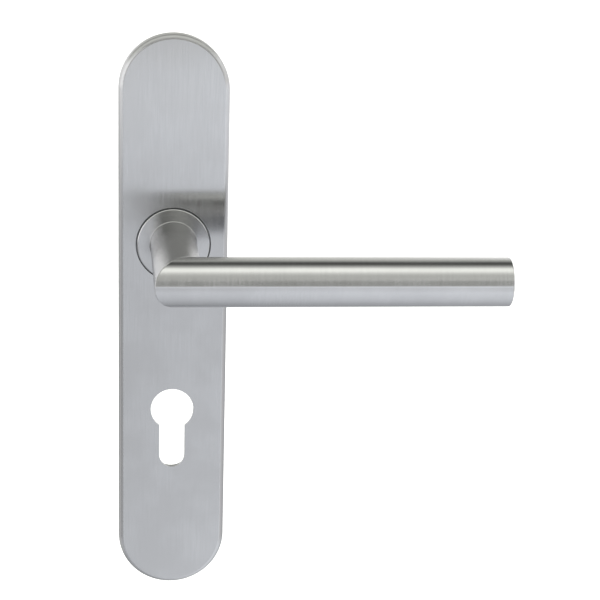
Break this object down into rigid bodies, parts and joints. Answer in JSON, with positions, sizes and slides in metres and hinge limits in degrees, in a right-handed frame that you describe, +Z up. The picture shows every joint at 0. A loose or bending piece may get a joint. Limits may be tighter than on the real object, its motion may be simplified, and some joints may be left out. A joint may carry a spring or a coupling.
{
  "type": "lever door handle on backplate",
  "caption": "Sprung mitred tube lever handle on a long round-ended backplate with an empty profile cylinder cut-out, one side of a door set.",
  "frame": {"origin": "on the spindle axis, in the plane of the door's face that the mounting plate lies against", "axes": "+Z up along the backplate, +X along the grip, +Y into the door along the spindle, -Y out into the room"},
  "size_m": [0.1495, 0.128, 0.238],
  "materials": {
    "satin_stainless": "satin",
    "zinc_alloy": "matte",
    "nylon": "matte",
    "spring_steel": "satin",
    "plated_steel": "satin"
  },
  "bodies": {
    "mounting": {"mounting_plate": "zinc_alloy", "bearing_bush": "nylon", "rest_stop_pin": "plated_steel", "travel_stop_pin": "plated_steel", "spring_anchor_pin": "plated_steel", "return_spring": "spring_steel", "cassette_cover": "plated_steel", "cassette_screw_upper": "plated_steel", "cassette_screw_lower": "plated_steel", "fixing_screw_upper": "plated_steel", "fixing_screw_lower": "plated_steel", "cover_clip_upper_left": "spring_steel", "cover_clip_upper_right": "spring_steel", "cover_clip_lower_left": "spring_steel", "cover_clip_lower_right": "spring_steel"},
    "cover": {"cover_plate": "satin_stainless"},
    "lever": {"grip_tube": "satin_stainless", "grip_end_cap": "satin_stainless", "neck_tube": "satin_stainless", "lever_collar": "satin_stainless", "lever_hub": "plated_steel", "spindle": "plated_steel", "grub_screw": "spring_steel", "thrust_washer": "nylon", "spring_driver": "plated_steel", "circlip": "spring_steel"}
  },
  "joints": [
    {"name": "lever_turn", "type": "hinge", "parent": "mounting", "child": "lever", "pos_m": [0, 0, 0], "axis": [0, 1, 0], "range_deg": [0, 45], "stiffness_Nm_per_rad": 0.8, "springref_deg": -28.65, "deforming": ["return_spring"]},
    {"name": "cover_unclip", "type": "slide", "parent": "mounting", "child": "cover", "axis": [0, -1, 0], "range_m": [0, 0.045]}
  ]
}
